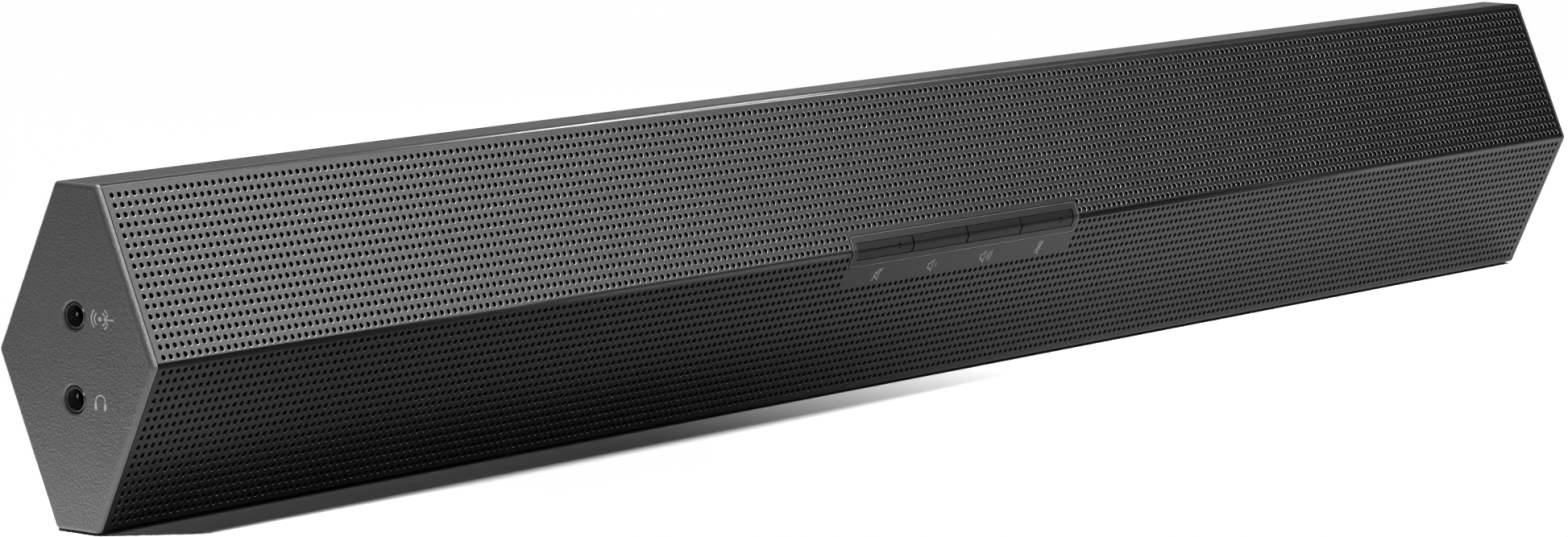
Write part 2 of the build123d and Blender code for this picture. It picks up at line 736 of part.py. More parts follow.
def lead(*points):
    """A round lead along straight runs joined by tangent arcs."""
    path = FilletPolyline(*points, radius=lead_bend)
    start = Plane(origin=path @ 0, z_dir=path % 0)
    return sweep(start * Circle(lead_radius), path)


board_end_x = main_board_length / 2 - lead_end_inset
board_end_z = main_board_screw_inset - 2 * lead_radius - main_board_half_height
wall_share = (lead_y - flange_rear) / (basket_rear - basket_wall - flange_rear)
wall_radius = flange_inner + (landing_outer - flange_inner) * wall_share + basket_wall
start_radius = wall_radius + lead_radius + fit_gap
start_x = driver_x - start_radius * math.cos(math.radians(lead_start_angle))
start_z = -start_radius * math.sin(math.radians(lead_start_angle))
speaker_leads = []
for side in (-1, 1):
    speaker_leads.append(lead(
        (side * start_x, lead_y, start_z),
        (side * (driver_x - driver_flange_radius), lead_y, lead_z),
        (side * board_end_x, lead_y, lead_z),
        (side * board_end_x, lead_y, board_end_z),
        (side * board_end_x, main_board_front, board_end_z),
    ))
write("speaker_leads", *speaker_leads)
jack_lead_x = jack_board_x + jack_board_length - jack_screw_inset
jack_end_x = -board_end_x - 8 * lead_radius
jack_lead = lead(
    (jack_lead_x, jack_lead_y, jack_lead_top - jack_board_half_height),
    (jack_lead_x, jack_lead_y, jack_lead_z),
    (jack_end_x, jack_lead_y, jack_lead_z),
    (jack_end_x, jack_lead_y, board_end_z),
)
write("jack_lead", jack_lead)
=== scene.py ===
import math

import bmesh
import bpy
from mathutils import Matrix, Vector


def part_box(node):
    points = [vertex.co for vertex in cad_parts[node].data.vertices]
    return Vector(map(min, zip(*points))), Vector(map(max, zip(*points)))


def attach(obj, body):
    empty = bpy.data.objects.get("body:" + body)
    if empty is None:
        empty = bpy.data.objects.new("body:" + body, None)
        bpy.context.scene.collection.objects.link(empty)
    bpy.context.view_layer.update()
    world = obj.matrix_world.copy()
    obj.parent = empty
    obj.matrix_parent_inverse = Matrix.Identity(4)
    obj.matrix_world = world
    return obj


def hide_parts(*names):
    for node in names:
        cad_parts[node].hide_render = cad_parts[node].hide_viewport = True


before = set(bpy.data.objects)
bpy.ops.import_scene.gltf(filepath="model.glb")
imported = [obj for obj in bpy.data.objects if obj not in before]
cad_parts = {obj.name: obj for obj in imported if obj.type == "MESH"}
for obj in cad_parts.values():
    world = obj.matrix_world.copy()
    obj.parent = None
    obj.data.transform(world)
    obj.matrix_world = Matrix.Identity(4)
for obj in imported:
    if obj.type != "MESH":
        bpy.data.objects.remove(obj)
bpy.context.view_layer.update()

# ---- Camera ----
# A long lens looks along the bar from its jack end, a little above the desk. It is turned
# from straight ahead towards +X, tipped down, and rolled by half a degree.
camera_turn, camera_tip, camera_roll = (math.radians(a) for a in (-53.128, 82.497, 0.541))
lens = bpy.data.cameras.new("camera")
lens.sensor_width = 36.0
lens.lens = 139.98
lens.clip_start, lens.clip_end = 0.05, 60.0
camera = bpy.data.objects.new("camera", lens)
bpy.context.collection.objects.link(camera)
camera.matrix_world = (
    Matrix.Translation((-0.9051, -0.6531, 0.1670))
    @ Matrix.Rotation(camera_turn, 4, "Z")
    @ Matrix.Rotation(camera_tip, 4, "X")
    @ Matrix.Rotation(camera_roll, 4, "Z")
)
bpy.context.scene.camera = camera
bpy.context.scene.view_settings.view_transform = "Standard"


# ---- Desk, room and lamps ----
# A plain pale desk top without an edge. Far lamps and soft boxes light the bar from above, in
# front and behind, and most leave the desk out. One far lamp and two pools light only the desk,
# whose glow reaches the lower face and the left cap.
def add(tree, kind, sockets=(), **settings):
    """A node with its settings and the values of its sockets."""
    node = tree.nodes.new(kind)
    for key, value in settings.items():
        setattr(node, key, value)
    for key, value in dict(sockets).items():
        node.inputs[key].default_value = value
    return node


def wire(tree, *steps):
    """Joins output to input: node, socket, node, socket, and again."""
    for source, out_socket, target, in_socket in zip(*[iter(steps)] * 4):
        tree.links.new(source.outputs[out_socket], target.inputs[in_socket])


def new_material(name):
    """A new material, its nodes and its Principled shader."""
    material = bpy.data.materials.new(name)
    material.use_nodes = True
    return material, material.node_tree, material.node_tree.nodes["Principled BSDF"]


def between(tree, source, socket, dark, light, low=0.0, high=1.0):
    """A colour ramp from dark to light as a value goes from low to high."""
    ramp = add(tree, "ShaderNodeValToRGB")
    ramp.color_ramp.elements[0].position, ramp.color_ramp.elements[1].position = low, high
    ramp.color_ramp.elements[0].color, ramp.color_ramp.elements[1].color = (*dark, 1), (*light, 1)
    wire(tree, source, socket, ramp, "Fac")
    return ramp


def spread(tree, source, socket, low, high):
    """A value from 0 to 1, stretched to run from low to high."""
    stretch = add(tree, "ShaderNodeMapRange", {"To Min": low, "To Max": high})
    wire(tree, source, socket, stretch, "Value")
    return stretch


desk_paint, tree, shader = new_material("desk_paint")
place = add(tree, "ShaderNodeTexCoord")
mottle = add(tree, "ShaderNodeTexNoise", {"Scale": 1.5, "Detail": 3.0})
tooth = add(tree, "ShaderNodeTexNoise", {"Scale": 900.0, "Detail": 2.0})
wire(tree, place, "Object", mottle, "Vector", place, "Object", tooth, "Vector")
shade = between(tree, mottle, "Fac", (0.86, 0.86, 0.86), (0.89, 0.89, 0.89))
bump = add(tree, "ShaderNodeBump", {"Distance": 0.0001, "Strength": 0.2})
wire(tree, tooth, "Fac", bump, "Height", bump, "Normal", shader, "Normal")
wire(tree, shade, "Color", shader, "Base Color")
shader.inputs["Roughness"].default_value = 0.9
shader.inputs["Specular IOR Level"].default_value = 0.2
desk = bpy.data.objects.new("desk", bpy.data.meshes.new("desk"))
reach = 14.0
desk_corners = [(-reach, -reach, 0), (reach, -reach, 0), (reach, reach, 0), (-reach, reach, 0)]
desk.data.from_pydata(desk_corners, [], [(0, 1, 2, 3)])
desk.data.materials.append(desk_paint)
bpy.context.collection.objects.link(desk)

room = bpy.data.worlds.new("room")
room.use_nodes = True
room.node_tree.nodes["Background"].inputs["Color"].default_value = (1.0, 1.0, 1.0, 1.0)
room.node_tree.nodes["Background"].inputs["Strength"].default_value = 0.06
bpy.context.scene.world = room


def aimed(name, kind, place, aim):
    """A lamp of a kind, at its place and turned to its aim."""
    lamp = bpy.data.lights.new(name, kind)
    holder = bpy.data.objects.new(name, lamp)
    bpy.context.collection.objects.link(holder)
    turn = (Vector(aim) - Vector(place)).to_track_quat("-Z", "Y")
    holder.matrix_world = Matrix.Translation(place) @ turn.to_matrix().to_4x4()
    return lamp


def soft_box(name, place, aim, wide, grid, power):
    """A lamp with a flat square face and a grid that narrows its beam to some degrees."""
    lamp = aimed(name, "AREA", place, aim)
    lamp.shape, lamp.size, lamp.energy = "SQUARE", wide, power
    lamp.spread = math.radians(grid)
    bpy.data.objects[name].visible_camera = False


def far_lamp(name, towards, across, power):
    """A lamp some degrees across, so far off that it lights everything evenly."""
    lamp = aimed(name, "SUN", towards, (0, 0, 0))
    lamp.angle, lamp.energy = math.radians(across), power


def pool(name, place, aim, cone, power):
    """A round pool of light with a soft edge, from a cone of some degrees."""
    lamp = aimed(name, "SPOT", place, aim)
    lamp.spot_size, lamp.energy = math.radians(cone), power
    lamp.spot_blend, lamp.shadow_soft_size = 0.6, 0.05


def link_lamps(name, state, objects, lamps):
    """Makes lamps light these objects only (INCLUDE), or everything else (EXCLUDE)."""
    receivers = bpy.data.collections.new(name)
    for one in objects:
        receivers.objects.link(one)
    for item in receivers.collection_objects:
        item.light_linking.link_state = state
    for lamp in lamps:
        bpy.data.objects[lamp].light_linking.receiver_collection = receivers


far_lamp("lamp_over_desk", (0, 0, 1), 10, 3.5)
far_lamp("lamp_over_camera", (-0.62, -0.5, 0.55), 15, 1.3)
far_lamp("lamp_above_behind", (-0.12, 0.6, 0.79), 20, 0.7)
far_lamp("lamp_at_the_back", (0.25, 0.95, 0.12), 30, 3.8)
soft_box("lamp_overhead", (0.05, -0.4, 0.95), (-0.22, 0, 0.03), 0.26, 48, 1.05)
soft_box("lamp_in_front", (0.66, -0.86, 0.64), (-0.26, 0, 0.03), 0.36, 36, 1.6)
soft_box("lamp_behind", (1.25, 0.75, 0.27), (0.1, 0, 0.055), 0.5, 70, 0.26)
soft_box("lamp_over_lip", (0.3, 0.08, 0.6), (-0.27, 0, 0.055), 0.16, 34, 0.28)
pool("pool_on_the_right", (0.25, -0.5, 1.0), (0.27, -0.08, 0), 34, 98.0)
pool("pool_on_the_left", (-0.5, 0, 0.6), (-0.24, 0, 0), 8.5, 122.0)
desk_lamps = ["lamp_over_desk", "pool_on_the_right", "pool_on_the_left"]
bar_lamps = ["lamp_over_camera", "lamp_above_behind", "lamp_at_the_back", "lamp_overhead"]
bar_lamps += ["lamp_in_front", "lamp_over_lip"]
link_lamps("desk_alone", "INCLUDE", [desk], desk_lamps)
link_lamps("desk_left_out", "EXCLUDE", [desk], bar_lamps)


# ---- Rear housing and front baffle ----
# The housing is one black moulding with a fine spark-eroded skin, which closes the back, top
# and bottom. The baffle is a flat moulded plate screwed to it, and both radiator frames sit on it.
def effect(name, inputs, outputs):
    """A group of shader nodes with named inputs and outputs."""
    tree = bpy.data.node_groups.new(name, "ShaderNodeTree")
    for label, value in inputs:
        socket = tree.interface.new_socket(label, in_out="INPUT", socket_type="NodeSocketFloat")
        socket.default_value = value
    for label, kind in outputs:
        tree.interface.new_socket(label, in_out="OUTPUT", socket_type=kind)
    return tree, add(tree, "NodeGroupInput"), add(tree, "NodeGroupOutput")


fine_grain, given, result = effect(
    "fine_grain",
    [("Grain size", 0.0003), ("Cloud size", 0.03)],
    [("Height", "NodeSocketFloat"), ("Speck", "NodeSocketFloat"), ("Cloud", "NodeSocketFloat")],
)
place = add(fine_grain, "ShaderNodeTexCoord")
for label, share, out_socket, detail in (
    ("Grain size", 1.0, "Height", 3.0),
    ("Grain size", 0.45, "Speck", 1.0),
    ("Cloud size", 1.0, "Cloud", 2.0),
):
    per_metre = add(fine_grain, "ShaderNodeMath", {0: 1.0 / share}, operation="DIVIDE")
    grain = add(fine_grain, "ShaderNodeTexNoise", {"Detail": detail, "Roughness": 0.55})
    wire(
        fine_grain, given, label, per_metre, 1, per_metre, "Value", grain, "Scale",
        place, "Object", grain, "Vector", grain, "Fac", result, out_socket,
    )

# Edges found by a bevel, where a skin's colour is lightened: a little as wear, and strongly as a
# painted highlight.
worn_and_lit_edges, given, result = effect(
    "worn_and_lit_edges", [("Edge radius", 0.0002)],
    [("Edge", "NodeSocketFloat"), ("Normal", "NodeSocketVector")],
)
rounded = add(worn_and_lit_edges, "ShaderNodeBevel", samples=6)
true_face = add(worn_and_lit_edges, "ShaderNodeNewGeometry")
alike = add(worn_and_lit_edges, "ShaderNodeVectorMath", operation="DOT_PRODUCT")
turned_away = add(
    worn_and_lit_edges, "ShaderNodeMapRange",
    {"From Min": 1.0, "From Max": 0.8, "To Min": 0.0, "To Max": 1.0},
)
wire(
    worn_and_lit_edges, given, "Edge radius", rounded, "Radius", rounded, "Normal", alike, 0,
    true_face, "Normal", alike, 1, alike, "Value", turned_away, "Value",
    turned_away, "Result", result, "Edge", rounded, "Normal", result, "Normal",
)


def use(tree, group, **values):
    """Places a group of nodes with its own values."""
    node = add(tree, "ShaderNodeGroup", node_tree=group)
    for label, value in values.items():
        node.inputs[label.replace("_", " ")].default_value = value
    return node


def coat(tree, shader, colour, rough, height, socket, depth, metal=0.0, level=0.5):
    """Joins a colour, a roughness and a bump of some depth to the shader."""
    bump = add(tree, "ShaderNodeBump", {"Distance": depth})
    wire(
        tree, height, socket, bump, "Height", bump, "Normal", shader, "Normal",
        colour, "Color", shader, "Base Color", rough, "Result", shader, "Roughness",
    )
    shader.inputs["Metallic"].default_value = metal
    shader.inputs["Specular IOR Level"].default_value = level
    return bump


def grained(name, dark, light, grain, depth, gloss, edge=0.0, level=0.5, metal=0.0, wear_and_highlight_gain=1.5):
    """A moulded, cast or painted skin: grain, slow clouds of tone, and edges lightened, a little as
    wear and, where the gain is large, as a painted highlight.
    """
    material, tree, shader = new_material(name)
    skin = use(tree, fine_grain, Grain_size=grain, Cloud_size=0.04)
    mixed = add(tree, "ShaderNodeMath", {1: 0.6}, operation="MULTIPLY")
    tone = add(tree, "ShaderNodeMath", {1: 0.4}, operation="MULTIPLY_ADD")
    wire(tree, skin, "Speck", mixed, 0, skin, "Cloud", tone, 0, mixed, "Value", tone, 2)
    paint = between(tree, tone, "Value", dark, light, 0.3, 0.7)
    rough = spread(tree, tone, "Value", *gloss)
    bump = coat(tree, shader, paint, rough, skin, "Height", depth, metal, level)
    # The edges are lightened: small gains stand for wear, large gains paint a highlight where light
    # would catch the edge.
    if edge:
        rim = use(tree, worn_and_lit_edges, Edge_radius=edge)
        worn_and_lit_colour = (*[min(1.0, c * wear_and_highlight_gain) for c in light], 1)
        rubbed_and_lit = add(tree, "ShaderNodeMix", {"B": worn_and_lit_colour}, data_type="RGBA")
        wire(
            tree, paint, "Color", rubbed_and_lit, "A", rim, "Edge", rubbed_and_lit, "Factor",
            rubbed_and_lit, "Result", shader, "Base Color", rim, "Normal", bump, "Normal",
        )
    return material


def give(material, *names):
    """Puts a material on the shown pieces of the frame."""
    for name in names:
        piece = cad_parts[name]
        if not piece.material_slots:
            piece.data.materials.append(material)
        for place in piece.material_slots:
            place.material = material


housing_skin = grained(
    "housing_skin", (0.014,) * 3, (0.022,) * 3, 0.00045, 0.00003, (0.46, 0.6),
    edge=0.00025, level=0.14,
)
inner_skin = grained(
    "inner_skin", (0.014,) * 3, (0.024,) * 3, 0.0008, 0.00003, (0.5, 0.7), edge=0.0002
)
give(housing_skin, "rear_housing")
give(inner_skin, "front_baffle", "passive_frames")

# ---- Screws ----
# Zinc-plated steel pan heads with a hex socket hold the baffle and the three boards. Plating
# is bright and slightly cloudy, with a very fine grain.
screw_plate, tree, shader = new_material("screw_plate")
skin = use(tree, fine_grain, Grain_size=0.00025, Cloud_size=0.004)
zinc = between(tree, skin, "Cloud", (0.42, 0.42, 0.43), (0.62, 0.61, 0.58), 0.35, 0.65)
rough = spread(tree, skin, "Speck", 0.22, 0.42)
coat(tree, shader, zinc, rough, skin, "Height", 0.00001, metal=1.0)
give(screw_plate, "baffle_screws", "button_board_screws", "jack_board_screws", "main_board_screws")

# ---- Driver motors and baskets ----
# Each driver has a painted pressed basket on a foam gasket, and a plated steel cup and top plate
# round a disc magnet. The cup shows turning marks round its axis, the magnet a dull nickel skin.
basket_paint = grained(
    "basket_paint", (0.02,) * 3, (0.034,) * 3, 0.0006, 0.00002, (0.35, 0.5), edge=0.0003
)
give(basket_paint, "driver_baskets")

gasket_foam, tree, shader = new_material("gasket_foam")
skin = use(tree, fine_grain, Grain_size=0.0005, Cloud_size=0.01)
pores = add(tree, "ShaderNodeTexVoronoi", {"Scale": 2600.0})
place = add(tree, "ShaderNodeTexCoord")
foam = between(tree, pores, "Distance", (0.012,) * 3, (0.04,) * 3, 0.1, 0.6)
rough = spread(tree, skin, "Cloud", 0.85, 1.0)
wire(tree, place, "Object", pores, "Vector")
coat(tree, shader, foam, rough, pores, "Distance", 0.0001)
give(gasket_foam, "driver_gaskets", "microphone_boots")

turned_steel, tree, shader = new_material("turned_steel")
place = add(tree, "ShaderNodeTexCoord")
skin = use(tree, fine_grain, Grain_size=0.0003, Cloud_size=0.006)
marks = add(
    tree, "ShaderNodeTexWave", {"Scale": 900.0, "Distortion": 0.6, "Detail": 1.0},
    bands_direction="Y",
)
wire(tree, place, "Object", marks, "Vector")
steel = between(tree, skin, "Cloud", (0.3, 0.3, 0.31), (0.5, 0.5, 0.5), 0.35, 0.65)
rough = spread(tree, marks, "Fac", 0.25, 0.45)
coat(tree, shader, steel, rough, marks, "Fac", 0.00001, metal=1.0)
give(turned_steel, "driver_yokes", "driver_top_plates")
magnet_nickel = grained(
    "magnet_nickel", (0.25, 0.24, 0.22), (0.4, 0.39, 0.36), 0.0002, 0.000008, (0.25, 0.4), metal=1.0
)
give(magnet_nickel, "driver_magnets")

# ---- Cones, coils and suspensions ----
# The cone and dust cap are pressed paper on a wound copper coil. A rubber roll holds the edge,
# and a corrugated woven disc centres the coil. The radiators' skins are the same rubber.
cone_paper, tree, shader = new_material("cone_paper")
place = add(tree, "ShaderNodeTexCoord")
stretched = add(tree, "ShaderNodeMapping", {"Scale": (1.0, 1.0, 4.0)})
fibres = add(tree, "ShaderNodeTexNoise", {"Scale": 1400.0, "Detail": 5.0, "Distortion": 1.2})
wire(tree, place, "Object", stretched, "Vector", stretched, "Vector", fibres, "Vector")
paper = between(tree, fibres, "Fac", (0.012, 0.012, 0.013), (0.05, 0.05, 0.048), 0.3, 0.75)
rough = spread(tree, fibres, "Fac", 0.75, 0.95)
coat(tree, shader, paper, rough, fibres, "Fac", 0.00008)
shader.inputs["Sheen Weight"].default_value = 0.15
give(cone_paper, "left_cone", "right_cone", "left_dust_cap", "right_dust_cap")

coil_wire, tree, shader = new_material("coil_wire")
place = add(tree, "ShaderNodeTexCoord")
turns = add(tree, "ShaderNodeTexWave", {"Scale": 2000.0, "Distortion": 0.05}, bands_direction="Y")
skin = use(tree, fine_grain, Grain_size=0.0004, Cloud_size=0.003)
copper = between(tree, turns, "Fac", (0.25, 0.08, 0.03), (0.72, 0.3, 0.13), 0.1, 0.8)
rough = spread(tree, skin, "Cloud", 0.25, 0.4)
wire(tree, place, "Object", turns, "Vector")
coat(tree, shader, copper, rough, turns, "Fac", 0.00006, metal=1.0)
give(coil_wire, "left_voice_coil", "right_voice_coil")

black_rubber, tree, shader = new_material("black_rubber")
skin = use(tree, fine_grain, Grain_size=0.0007, Cloud_size=0.015)
rubber = between(tree, skin, "Cloud", (0.009,) * 3, (0.02,) * 3, 0.35, 0.65)
rough = spread(tree, skin, "Height", 0.5, 0.78)
coat(tree, shader, rubber, rough, skin, "Height", 0.00003, level=0.35)
give(
    black_rubber, "left_surround", "right_surround", "left_passive_diaphragm",
    "right_passive_diaphragm", "rubber_feet",
)


def woven(name, dark, light, pitch, depth, level=0.5):
    """Plain weave: threads across and up go over and under each other."""
    material, tree, shader = new_material(name)
    place = add(tree, "ShaderNodeTexCoord")
    skin = use(tree, fine_grain, Grain_size=pitch / 3, Cloud_size=0.02)
    repeat = 0.314  # the length in which a wave texture of scale 1 repeats
    threads = []
    for direction in "XZ":
        thread = add(
            tree, "ShaderNodeTexWave", {"Scale": repeat / pitch, "Distortion": 0.15},
            bands_direction=direction,
        )
        wire(tree, place, "Object", thread, "Vector")
        threads.append(thread)
    crossing = add(tree, "ShaderNodeMath", operation="MULTIPLY")
    wire(tree, threads[0], "Fac", crossing, 0, threads[1], "Fac", crossing, 1)
    cloth = between(tree, crossing, "Value", dark, light, 0.05, 0.7)
    rough = spread(tree, skin, "Cloud", 0.85, 1.0)
    coat(tree, shader, cloth, rough, crossing, "Value", depth, level=level)
    return material


spider_weave = woven("spider_weave", (0.16, 0.1, 0.03), (0.55, 0.4, 0.18), 0.0006, 0.00008)
give(spider_weave, "left_spider", "right_spider")
weight_plate = grained(
    "weight_plate", (0.2, 0.2, 0.21), (0.34, 0.34, 0.34), 0.0009, 0.00001, (0.3, 0.5), metal=1.0
)
give(weight_plate, "left_passive_weight", "right_passive_weight")

# ---- Boards, parts and wiring ----
# Glass-fibre boards under black solder mask, with tracks that show through as fine raised lines.
# Chips are moulded black, switch cases pressed steel, lenses milky, and the leads soft PVC.
board_mask, tree, shader = new_material("board_mask")
place = add(tree, "ShaderNodeTexCoord")
turned = add(tree, "ShaderNodeMapping", {"Rotation": (math.radians(90), 0, 0)})
tracks = add(
    tree, "ShaderNodeTexBrick",
    {
        "Scale": 260.0, "Mortar Size": 0.06, "Mortar Smooth": 0.3, "Brick Width": 1.7,
        "Row Height": 0.35, "Color1": (0.008, 0.014, 0.011, 1), "Color2": (0.011, 0.02, 0.015, 1),
        "Mortar": (0.03, 0.055, 0.04, 1),
    },
)
skin = use(tree, fine_grain, Grain_size=0.0006, Cloud_size=0.01)
rough = spread(tree, skin, "Cloud", 0.22, 0.4)
wire(tree, place, "Object", turned, "Vector", turned, "Vector", tracks, "Vector")
coat(tree, shader, tracks, rough, tracks, "Fac", 0.00003)
give(board_mask, "main_board", "jack_board", "button_board")
chip_case = grained(
    "chip_case", (0.012,) * 3, (0.026,) * 3, 0.0002, 0.00001, (0.4, 0.6), edge=0.00015
)
give(chip_case, "main_board_components", "microphones")
switch_steel = grained(
    "switch_steel", (0.36,) * 3, (0.55,) * 3, 0.0004, 0.000008, (0.28, 0.42),
    edge=0.0001, metal=1.0,
)
give(switch_steel, "tact_switch_bodies")
plunger_plastic = grained("plunger_plastic", (0.02,) * 3, (0.03,) * 3, 0.0003, 0.00001, (0.3, 0.45))
give(
    plunger_plastic, "mute_switch_plunger", "volume_down_switch_plunger",
    "volume_up_switch_plunger", "microphone_mute_switch_plunger",
)
milky_lens = grained(
    "milky_lens", (0.62, 0.62, 0.58), (0.75, 0.75, 0.7), 0.0004, 0.000004, (0.15, 0.25)
)
give(milky_lens, "indicator_leds")
lead_jacket = grained("lead_jacket", (0.018,) * 3, (0.03,) * 3, 0.0008, 0.00002, (0.35, 0.55))
give(lead_jacket, "speaker_leads", "jack_lead", "button_cable")

# ---- USB socket ----
# A drawn stainless shell with its tongue, set at the bottom of the pocket in the rear ridge.
# The draw leaves faint lines along it, and its mouth is rubbed bright by plugs.
socket_steel, tree, shader = new_material("socket_steel")
place = add(tree, "ShaderNodeTexCoord")
drawn = add(tree, "ShaderNodeMapping", {"Scale": (1.0, 0.05, 1.0)})
lines = add(tree, "ShaderNodeTexNoise", {"Scale": 5000.0, "Detail": 2.0})
rim = use(tree, worn_and_lit_edges, Edge_radius=0.00015)
wire(tree, place, "Object", drawn, "Vector", drawn, "Vector", lines, "Vector")
steel = between(tree, lines, "Fac", (0.4, 0.4, 0.41), (0.6, 0.6, 0.6), 0.3, 0.7)
rough = spread(tree, rim, "Edge", 0.34, 0.2)
bump = coat(tree, shader, steel, rough, lines, "Fac", 0.000006, metal=1.0)
wire(tree, rim, "Normal", bump, "Normal")
give(socket_steel, "usb_socket")

# ---- Jacks ----
# Two 3.5 mm sockets moulded in glossy black, with a round nose that just misses the cap's face.
# A sprung nickel contact shows as a bright sliver in each bore.
jack_moulding = grained(
    "jack_moulding", (0.010,) * 3, (0.016,) * 3, 0.0005, 0.000006, (0.16, 0.26), edge=0.00012
)
give(jack_moulding, "line_in_jack", "headphone_jack")
contact_nickel = grained(
    "contact_nickel", (0.6, 0.59, 0.56), (0.8, 0.79, 0.76), 0.0003, 0.000006, (0.2, 0.35), metal=1.0
)
give(contact_nickel, "jack_contacts")

mm = 0.001


def from_form(form, name, material):
    """A mesh piece that rides on the bar, made from a bmesh that is then freed."""
    mesh = bpy.data.meshes.new(name)
    form.to_mesh(mesh)
    form.free()
    mesh.materials.append(material)
    piece = bpy.data.objects.new(name, mesh)
    bpy.context.collection.objects.link(piece)
    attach(piece, "bar")
    return piece


# The tips of the contacts, bent into each bore from its rear wall.
bore_radius, tip_depth, tip_leaf, tip_edge = 1.8 * mm, 2.4 * mm, 0.42 * mm, 0.07 * mm
turned_tip = Matrix.Rotation(math.radians(42), 4, "Z")
leaves = bmesh.new()
for jack, tall, rise in (
    ("line_in_jack", 0.75 * mm, -0.2 * mm),
    ("headphone_jack", 1.25 * mm, 0.1 * mm),
):
    low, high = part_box(jack)
    rear_wall = (low.y + high.y) / 2 + bore_radius
    middle = Matrix.Translation((low.x + tip_depth, rear_wall, (low.z + high.z) / 2 + rise))
    size = Matrix.Diagonal((tip_leaf, tip_leaf, tall, 1.0))
    bmesh.ops.create_cube(leaves, matrix=middle @ turned_tip @ size)
bmesh.ops.bevel(
    leaves, geom=leaves.edges[:], offset=tip_edge, segments=3, affect="EDGES", clamp_overlap=True
)
for one in leaves.faces:
    one.smooth = True
from_form(leaves, "jack_contact_tips", contact_nickel)

# ---- Acoustic cloth ----
# A black plain-weave cloth behind the whole grille. It hides the drivers, so the holes look
# black, with only the crowns of its threads catching light.
acoustic_weave = woven(
    "acoustic_weave", (0.003,) * 3, (0.016,) * 3, 0.00035, 0.00006, level=0.15
)
give(acoustic_weave, "acoustic_cloth")

# ---- Perforated grille ----
# One folded aluminium sheet in satin graphite paint: two sloping faces of round holes in square
# rows, a ridge bend between them, a lip folded on to the top and one under the bottom.
sheet_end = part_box("front_grille")[1].x
cap_low, cap_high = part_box("left_end_cap")
mid_z = (cap_low.z + cap_high.z) / 2
half_tall = (cap_high.z - cap_low.z) / 2
ridge_reach, flat_reach = 16.5 * mm, 4.4 * mm
sheet, ridge_radius, fold_radius = 0.6 * mm, 1.2 * mm, 0.8 * mm
pitch, hole_width, hole_rim, rim_fall = 1.67 * mm, 0.96 * mm, 0.11 * mm, 0.075 * mm
columns, rows, hole_sides = 259, 17, 12
first_row = 1.38 * mm
field_start = first_row - pitch / 2
field_end = field_start + rows * pitch
field_half = columns * pitch / 2
plain_half = 21.5 * pitch
plain_up, plain_down = field_start + 2 * pitch, field_start + 4 * pitch
slope = math.atan2(half_tall, ridge_reach - flat_reach)


def node_maker(name, inputs):
    """An empty tree for a geometry modifier, with its inputs and its one output."""
    tree = bpy.data.node_groups.new(name, "GeometryNodeTree")
    for label, kind in inputs:
        tree.interface.new_socket(label, in_out="INPUT", socket_type="NodeSocket" + kind)
    tree.interface.new_socket("Geometry", in_out="OUTPUT", socket_type="NodeSocketGeometry")
    return tree, add(tree, "NodeGroupInput"), add(tree, "NodeGroupOutput")


def made_by(tree, name, body, values):
    """A plain mesh piece from a tree's result, riding on its body."""
    piece = bpy.data.objects.new(name, bpy.data.meshes.new(name))
    bpy.context.collection.objects.link(piece)
    modifier = piece.modifiers.new("maker", "NODES")
    modifier.node_group = tree
    for item in tree.interface.items_tree:
        if item.in_out == "INPUT":
            modifier[item.identifier] = values[item.name]
    whole = piece.evaluated_get(bpy.context.evaluated_depsgraph_get())
    mesh = bpy.data.meshes.new_from_object(whole)
    piece.modifiers.remove(modifier)
    mesh.name = name
    piece.data = mesh
    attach(piece, body)


punched, given, result = node_maker(
    "punched_field",
    [
        ("Pitch", "Float"), ("Hole width", "Float"), ("Rim", "Float"), ("Hole sides", "Int"),
        ("Sheet", "Float"), ("Columns", "Int"), ("Rows", "Int"), ("First hole", "Vector"),
        ("Plain half length", "Float"), ("Plain height", "Float"), ("Rim fall", "Float"),
        ("Lean", "Vector"), ("Ridge", "Vector"), ("Finish", "Material"), ("Rim painted light", "Material"),
    ],
)


def reckon(tree, kind, source, socket, value):
    """One step of arithmetic on a socket, with a number or with another socket."""
    step = add(tree, "ShaderNodeMath", operation=kind)
    wire(tree, source, socket, step, 0)
    if isinstance(value, tuple):
        wire(tree, *value, step, 1)
    else:
        step.inputs[1].default_value = value
    return step


# The centres of the holes, less those in the plain part round the panel.
half_spans, centres = [], add(punched, "GeometryNodeMeshGrid")
for count, axis in (("Columns", "X"), ("Rows", "Y")):
    fewer = reckon(punched, "SUBTRACT", given, count, 1.0)
    span = reckon(punched, "MULTIPLY", fewer, "Value", (given, "Pitch"))
    half_spans.append(reckon(punched, "MULTIPLY", span, "Value", 0.5))
    wire(punched, given, count, centres, f"Vertices {axis}", span, "Value", centres, f"Size {axis}")
offset = add(punched, "ShaderNodeCombineXYZ")
start = add(punched, "ShaderNodeVectorMath", operation="ADD")
placed = add(punched, "GeometryNodeTransform")
wire(
    punched, half_spans[0], "Value", offset, "X", half_spans[1], "Value", offset, "Y",
    offset, "Vector", start, 0, given, "First hole", start, 1,
    centres, "Mesh", placed, "Geometry", start, "Vector", placed, "Translation",
)
where = add(punched, "GeometryNodeInputPosition")
parts = add(punched, "ShaderNodeSeparateXYZ")
wire(punched, where, "Position", parts, "Vector")
tests = []
for axis, limit in (("X", "Plain half length"), ("Y", "Plain height")):
    size = reckon(punched, "ABSOLUTE", parts, axis, 0.0)
    tests.append(reckon(punched, "LESS_THAN", size, "Value", (given, limit)))
both = reckon(punched, "MULTIPLY", tests[0], "Value", (tests[1], "Value"))
left_plain = add(punched, "GeometryNodeDeleteGeometry", domain="POINT")
wire(punched, placed, "Geometry", left_plain, "Geometry", both, "Value", left_plain, "Selection")

